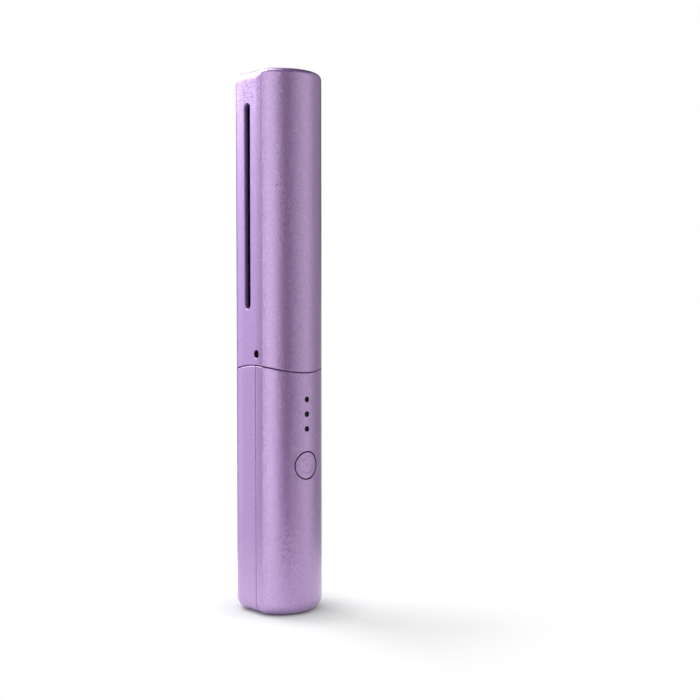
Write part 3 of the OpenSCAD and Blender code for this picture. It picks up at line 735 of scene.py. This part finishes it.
def make_button():
    """The round button: engraved face that follows the handle's side, rounded edge, wall and flange."""
    n = BUTTON_SIDES
    profile = [(r, 0.0) for r in np.linspace(BUTTON_LAND, BUTTON_R - BUTTON_LIP - BUTTON_LAND, BUTTON_RINGS)]
    profile += [(BUTTON_R - BUTTON_LIP * (1 - math.sin(a)), BUTTON_LIP * (1 - math.cos(a)))
                for a in quarter(7)]
    profile += [(BUTTON_R, BUTTON_LIP + BUTTON_LAND), (BUTTON_R, FLANGE_DEPTH), (FLANGE_R, FLANGE_DEPTH)]
    circle = [(math.cos(a), math.sin(a)) for a in 2 * math.pi * np.arange(n) / n]
    verts = [(float(side_surface(0.0)), 0.0, BUTTON_Z)]
    for r, depth in profile:
        for c, s in circle:
            mark = mark_depth(r * c, r * s) if depth == 0 else 0
            verts.append((float(side_surface(r * c)) - depth - mark, r * c, BUTTON_Z + r * s))
    for r in (FLANGE_R, FLANGE_R * 0.6):
        verts += [(BUTTON_BACK, r * c, BUTTON_Z + r * s) for c, s in circle]
    rings = len(profile) + 2
    faces = [(0, 1 + k, 1 + (k + 1) % n) for k in range(n)]
    for i in range(rings - 1):
        a, b = 1 + i * n, 1 + (i + 1) * n
        faces += [(a + k, b + k, b + (k + 1) % n, a + (k + 1) % n) for k in range(n)]
    faces.append(tuple(1 + (rings - 1) * n + k for k in range(n)))
    button = to_object("power_button_cap", verts, faces)
    face_out(button)
    smooth(button)
    # the button's side wall gets the near-black finish, as painted shade in the gap round it
    shade_deep_faces(button, SHADE_DEPTH_BUTTON, lambda x, y, z: math.hypot(y, z - BUTTON_Z) > BUTTON_R - WALL_MARGIN)
    return stand_in(button, "power_button", "power_button")


# ---------------------------------------------------------------- node trees and materials


def srgb(r, g, b):
    """Linear colour of an 8-bit sRGB one."""
    def one(c):
        c /= 255.0
        return c / 12.92 if c <= 0.04045 else ((c + 0.055) / 1.055) ** 2.4
    return one(r), one(g), one(b), 1.0


def fill(tree, socket, value):
    """Links a socket to another one, or sets its value."""
    if isinstance(value, bpy.types.NodeSocket):
        tree.links.new(value, socket)
    else:
        socket.default_value = value


class Graph:
    """Short way to wire a node tree."""

    def __init__(self, tree):
        self.tree = tree

    def add(self, kind, inputs=None, **props):
        node = self.tree.nodes.new(kind)
        for key, value in props.items():
            setattr(node, key, value)
        for key, value in (inputs or {}).items():
            fill(self.tree, node.inputs[key], value)
        return node

    def place(self):
        """Coordinates that move with the object."""
        return self.add("ShaderNodeTexCoord").outputs["Object"]

    def math(self, operation, a, b=0.0, c=0.0):
        return self.add("ShaderNodeMath", {0: a, 1: b, 2: c}, operation=operation).outputs[0]

    def vector(self, operation, a, b):
        return self.add("ShaderNodeVectorMath", {0: a, 1: b}, operation=operation).outputs[0]

    def span(self, value, low, high, start, end):
        """Maps start..end to low..high."""
        return self.add("ShaderNodeMapRange", {"Value": value, "From Min": start, "From Max": end,
                                               "To Min": low, "To Max": high}).outputs["Result"]

    def mix(self, share, a, b):
        """Mixes two colours; the node's inputs 6 and 7 are its colour ones."""
        return self.add("ShaderNodeMix", {0: share, 6: a, 7: b}, data_type="RGBA").outputs[2]


class Finish(Graph):
    """A material with one principled shader, whose textures follow the piece."""

    def __init__(self, name):
        self.mat = bpy.data.materials.new(name)
        self.mat.use_nodes = True
        super().__init__(self.mat.node_tree)
        self.shader = self.tree.nodes["Principled BSDF"]
        self.coords = self.place()

    def noise(self, scale, detail, rough=0.5):
        return self.add("ShaderNodeTexNoise", {"Vector": self.coords, "Scale": scale, "Detail": detail,
                                               "Roughness": rough}).outputs["Fac"]

    def cells(self, scale):
        """A random colour in each cell."""
        return self.add("ShaderNodeTexVoronoi", {"Vector": self.coords, "Scale": scale}).outputs["Color"]

    def bump(self, height, strength, distance):
        inputs = {"Height": height, "Strength": strength, "Distance": distance}
        return self.add("ShaderNodeBump", inputs).outputs["Normal"]

    def set(self, **values):
        for key, value in values.items():
            fill(self.tree, self.shader.inputs[key.replace("_", " ")], value)


def corner_lean(m):
    """A lean of the normal in X that spreads the turn at the section's corners over a wider band."""
    x = m.add("ShaderNodeSeparateXYZ", {0: m.coords}).outputs[0]
    middle = (FLAT_END + station_point(("corner", 1, 1, 0.0), 0)[0]) / 2 * MM
    off = m.math("DIVIDE", m.math("SUBTRACT", m.math("ABSOLUTE", x), middle), SOFT_W * MM)
    fall = m.math("EXPONENT", m.math("MULTIPLY", m.math("MULTIPLY", off, off), -1.0))
    outwards = m.math("MULTIPLY", m.math("SIGN", x), -SOFT_LEAN)
    lean = m.math("MULTIPLY", m.math("MULTIPLY", off, fall), outwards)
    return m.add("ShaderNodeCombineXYZ", {0: lean}).outputs[0]


def pearl_paint(name, soft_corners=False):
    """Satin pearl paint: metallic flakes of two tones that lean a little each way, under a clear coat."""
    m = Finish(name)
    flakes = m.cells(FLAKES)
    tone = m.add("ShaderNodeSeparateColor", {"Color": flakes}).outputs[0]
    grain = m.noise(GRAIN, 2.0)
    base = m.mix(m.noise(CLOUDS, 3.0), srgb(*PEARL[0]), srgb(*PEARL[1]))
    base = m.mix(tone, m.mix(0.5, base, srgb(*PEARL_DARK)), m.mix(0.6, base, srgb(*PEARL_LIGHT)))
    centred = m.vector("SUBTRACT", flakes, (0.5, 0.5, 0.5))
    tilt = m.add("ShaderNodeVectorMath", {0: centred, "Scale": FLAKE_TILT}, operation="SCALE").outputs[0]
    normal = m.vector("ADD", m.bump(grain, 0.12, 0.00004), tilt)
    if soft_corners:
        normal = m.vector("ADD", normal, corner_lean(m))
    normal = m.add("ShaderNodeVectorMath", {0: normal}, operation="NORMALIZE").outputs[0]
    m.set(Base_Color=base, Metallic=0.7, Roughness=m.span(grain, 0.38, 0.46, 0.3, 0.7), Normal=normal)
    m.set(Coat_Weight=1.0, Coat_Roughness=0.33, Coat_IOR=2.3, Coat_Normal=normal)
    return m.mat


def plain_finish(name, colour, colour2, metallic, rough, grain,
                 bump=0.15, depth=0.00008, coat=0.0, shine=0.5):
    """A painted, moulded or metal finish: mottled between two colours, uneven in gloss, with a fine grain."""
    m = Finish(name)
    mottle = m.noise(grain * 0.2, 3.0)
    fine = m.noise(grain, 3.0, 0.6)
    tone = m.mix(m.span(mottle, 0, 1, 0.35, 0.65), srgb(*colour), srgb(*colour2))
    gloss = m.span(fine, max(rough - 0.08, 0.02), rough + 0.08, 0.3, 0.7)
    m.set(Base_Color=tone, Metallic=metallic, Roughness=gloss, Coat_Weight=coat, Specular_IOR_Level=shine,
          Normal=m.bump(fine, bump, depth))
    return m.mat


def slot_finishes():
    """A finish for each material slot of the record."""
    plain = plain_finish
    return {
        "pearl_shell": pearl_paint("pearl_paint"),
        "plate_black": plain("plate_coating", (13, 12, 15), (19, 18, 22), 0.2, 0.34, 1400.0, shine=0.4),
        "ceramic_white": plain("fired_ceramic", (232, 228, 220), (222, 217, 208), 0.0, 0.45, 2600.0),
        "amber_film": plain("polyimide_film", (190, 118, 38), (168, 98, 26), 0.0, 0.2, 500.0, bump=0.2),
        "screw_steel": plain("screw_steel", (176, 178, 184), (150, 152, 160), 1.0, 0.28, 1800.0),
        "sensor_black": plain("sensor_epoxy", (24, 24, 26), (34, 33, 35), 0.0, 0.25, 1200.0),
        "fuse_metal": plain("fuse_case", (190, 186, 176), (172, 168, 160), 1.0, 0.3, 1500.0),
        "lead_red": plain("silicone_lead", (150, 26, 28), (132, 20, 24), 0.0, 0.5, 1600.0),
        "bracket_black": plain("bracket_nylon", (34, 34, 37), (42, 42, 46), 0.0, 0.55, 1000.0, bump=0.3),
        "cell_wrap": plain("cell_sleeve", (60, 92, 148), (54, 84, 138), 0.0, 0.28, 300.0),
        "nickel_strip": plain("nickel_strip", (198, 194, 182), (178, 174, 164), 1.0, 0.3, 1400.0),
        "foam_black": plain("foam_pad", (30, 30, 32), (44, 44, 46), 0.0, 0.9, 2200.0, bump=0.7, depth=0.0002),
        "board_green": plain("solder_mask", (18, 78, 46), (24, 90, 52), 0.0, 0.3, 900.0, bump=0.2,
                             depth=0.00005, coat=0.4),
        "chip_black": plain("chip_epoxy", (26, 26, 28), (36, 36, 38), 0.0, 0.5, 2400.0),
        "socket_steel": plain("socket_steel", (186, 188, 192), (164, 166, 172), 1.0, 0.25, 1200.0),
        "led_body": plain("led_lens", (236, 226, 190), (226, 212, 170), 0.0, 0.3, 1800.0),
        "smoked_lens": plain("smoked_lens", (9, 7, 11), (13, 10, 16), 0.0, 0.3, 900.0, bump=0.05,
                             depth=0.00003, shine=0.15),
    }


def dress_nodes():
    """Gives every carried-over node the finish of its slot in the record."""
    finishes = slot_finishes()
    for row in frame["record"]["subparts"]:
        materials = NODES[row["node"]].data.materials
        materials.clear()
        materials.append(finishes[row["material_slot"]])


def dress_pieces(pieces):
    """Gives the new pieces their paint, and as the second finish near-black unpainted plastic, which also
    paints the shade in gaps, seams and holes.
    """
    skin = pearl_paint("pearl_skin_paint", soft_corners=True)
    gap_shade_plastic = plain_finish("gap_shade_plastic", (16, 11, 21), (22, 16, 28), 0.0, 0.6, 1600.0, shine=0.25)
    for piece in pieces:
        piece.data.materials.append(skin)
        piece.data.materials.append(gap_shade_plastic)


# ---------------------------------------------------------------- stage, light and camera


def add_camera():
    """The photograph's view, without depth of field."""
    data = bpy.data.cameras.new("camera")
    data.lens = CAM_LENS
    data.sensor_width = 36.0
    data.clip_start = 0.01
    data.clip_end = 20.0
    cam = bpy.data.objects.new("camera", data)
    bpy.context.scene.collection.objects.link(cam)
    cam.location = Vector((CAM_DIST * math.sin(CAM_AZ), -CAM_DIST * math.cos(CAM_AZ), CAM_H)) * MM
    a = CAM_AZ + CAM_YAW
    flat = math.cos(CAM_PITCH)
    forward = Vector((-math.sin(a) * flat, math.cos(a) * flat, -math.sin(CAM_PITCH)))
    cam.rotation_euler = forward.to_track_quat("-Z", "Y").to_euler()
    bpy.context.scene.camera = cam


def add_softbox(name, sides, rise, radiance, colour):
    """A rectangular lamp that fills a patch of the room as the object sees it.

    sides are its left and right edges in degrees to the right of the camera's direction, and rise its
    lower and upper edges in degrees above the object's middle.
    """
    a = CAM_AZ + math.radians(sum(sides) / 2)
    up = math.radians(sum(rise) / 2)
    data = bpy.data.lights.new(name, "AREA")
    data.shape = "RECTANGLE"
    data.size = 2 * LAMP_DIST * math.tan(math.radians(sides[1] - sides[0]) / 2) * math.cos(up) * MM
    data.size_y = 2 * LAMP_DIST * math.tan(math.radians(rise[1] - rise[0]) / 2) * MM
    data.energy = math.pi * radiance * data.size * data.size_y
    data.color = colour
    lamp = bpy.data.objects.new(name, data)
    bpy.context.scene.collection.objects.link(lamp)
    way = Vector((math.sin(a) * math.cos(up), -math.cos(a) * math.cos(up), math.sin(up)))
    lamp.location = (way * LAMP_DIST + Vector((0, 0, TOTAL_H / 2))) * MM
    lamp.rotation_euler = way.to_track_quat("Z", "Y").to_euler()
    lamp.visible_camera = False


def add_world():
    """White to the camera, and almost dark to the object, which the lamps and the table light."""
    world = bpy.data.worlds.new("world")
    bpy.context.scene.world = world
    world.use_nodes = True
    g = Graph(world.node_tree)
    back = g.tree.nodes["Background"]
    back.inputs["Color"].default_value = (1, 1, 1, 1)
    camera = g.add("ShaderNodeLightPath").outputs["Is Camera Ray"]
    fill(g.tree, back.inputs["Strength"], g.math("MULTIPLY_ADD", camera, 1 - WORLD_FILL, WORLD_FILL))


def table_paper():
    """White paper that keeps the object's shadow near it and melts into the white background further out."""
    mat = bpy.data.materials.new("table_paper")
    mat.use_nodes = True
    g = Graph(mat.node_tree)
    g.tree.nodes.remove(g.tree.nodes["Principled BSDF"])
    rays = g.add("ShaderNodeLightPath").outputs
    camera = rays["Is Camera Ray"]
    mirrored = g.math("SUBTRACT", g.math("MAXIMUM", rays["Is Glossy Ray"],
                                         g.math("MAXIMUM", camera, rays["Is Transmission Ray"])), camera)
    # ambient occlusion darkens the table's glow and its mirrored glow near the object: painted contact shade
    # on top of the lamps' real shadow
    shade = g.add("ShaderNodeAmbientOcclusion", {"Distance": SHADE_REACH * MM}, samples=16).outputs["AO"]
    shine = g.math("MULTIPLY", g.math("MULTIPLY", shade, mirrored), TABLE_SHINE)
    lift = g.math("MULTIPLY", shade, TABLE_LIFT)
    grey = g.add("ShaderNodeBsdfDiffuse", {"Color": TABLE_GREY}).outputs[0]
    glow = g.add("ShaderNodeEmission", {"Strength": g.math("MULTIPLY_ADD", camera, lift, shine)}).outputs[0]
    near = g.add("ShaderNodeAddShader", {0: grey, 1: glow}).outputs[0]
    far = g.add("ShaderNodeEmission", {"Strength": g.math("ADD", camera, shine)}).outputs[0]
    out = g.add("ShaderNodeVectorMath", {0: g.place()}, operation="LENGTH").outputs["Value"]
    fade = g.add("ShaderNodeMapRange", {"Value": out, "From Min": TABLE_FADE[0] * MM,
                                        "From Max": TABLE_FADE[1] * MM}, interpolation_type="SMOOTHSTEP")
    mixed = g.add("ShaderNodeMixShader", {0: fade.outputs["Result"], 1: near, 2: far}).outputs[0]
    fill(g.tree, g.tree.nodes["Material Output"].inputs["Surface"], mixed)
    return mat


def add_table():
    """A small round table top under the object."""
    n = TABLE_SIDES
    verts = [(r * math.cos(a), r * math.sin(a), TABLE_Z)
             for r in np.geomspace(TABLE_CORE, TABLE_R, TABLE_RINGS) for a in 2 * math.pi * np.arange(n) / n]
    faces = [tuple(range(n))]
    for i in range(TABLE_RINGS - 1):
        a, b = i * n, (i + 1) * n
        faces += [(a + k, b + k, b + (k + 1) % n, a + (k + 1) % n) for k in range(n)]
    table = to_object("table_top", verts, faces)
    face_out(table)
    for face in table.data.polygons:
        face.use_smooth = True
    table.data.materials.append(table_paper())


# ---------------------------------------------------------------- build everything

add_camera()
dress_pieces([make_cap(), make_rear_shell(), make_front_cover(), make_button()])
dress_nodes()
for lamp in LAMPS:
    add_softbox(*lamp)
add_world()
add_table()
bpy.context.scene.view_settings.view_transform = "Standard"
